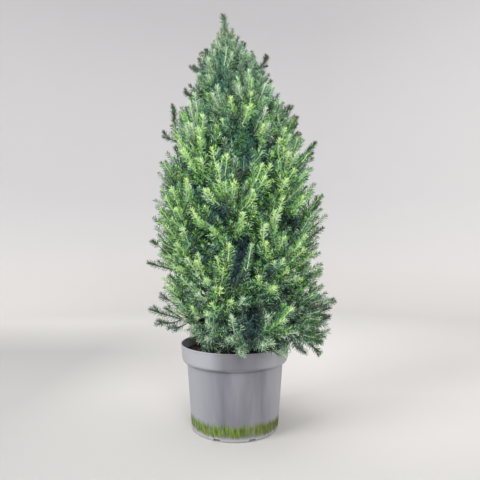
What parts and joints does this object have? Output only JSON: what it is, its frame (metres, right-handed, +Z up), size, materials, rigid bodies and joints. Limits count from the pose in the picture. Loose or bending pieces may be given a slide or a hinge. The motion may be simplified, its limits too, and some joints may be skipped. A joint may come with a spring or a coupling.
{
  "type": "potted white spruce",
  "caption": "Young cone-shaped white spruce with dense upright shoots, in a round grey nursery pot filled with soil.",
  "frame": {"origin": "centre of the pot's flat underside, on the ground", "axes": "+Z up along the trunk, +X to the right and -Y towards the viewer in the front view"},
  "size_m": [0.4771, 0.4684, 1.08],
  "materials": {
    "pot_plastic": "satin grey",
    "potting_soil": "moist and crumbly",
    "bark": "rough",
    "needles": "fresh green"
  },
  "bodies": {
    "root": {"pot": "pot_plastic", "soil": "potting_soil", "trunk": "bark", "bough_01": "bark", "foliage_01": "needles", "bough_02": "bark", "foliage_02": "needles", "bough_03": "bark", "foliage_03": "needles", "bough_04": "bark", "foliage_04": "needles", "bough_05": "bark", "foliage_05": "needles", "bough_06": "bark", "foliage_06": "needles", "bough_07": "bark", "foliage_07": "needles", "bough_08": "bark", "foliage_08": "needles", "bough_09": "bark", "foliage_09": "needles", "bough_10": "bark", "foliage_10": "needles", "bough_11": "bark", "foliage_11": "needles", "bough_12": "bark", "foliage_12": "needles", "bough_13": "bark", "foliage_13": "needles", "bough_14": "bark", "foliage_14": "needles", "bough_15": "bark", "foliage_15": "needles", "bough_16": "bark", "foliage_16": "needles", "bough_17": "bark", "foliage_17": "needles", "bough_18": "bark", "foliage_18": "needles", "bough_19": "bark", "foliage_19": "needles", "bough_20": "bark", "foliage_20": "needles", "bough_21": "bark", "foliage_21": "needles", "bough_22": "bark", "foliage_22": "needles", "bough_23": "bark", "foliage_23": "needles", "bough_24": "bark", "foliage_24": "needles", "foliage_top": "needles"}
  },
  "joints": []
}
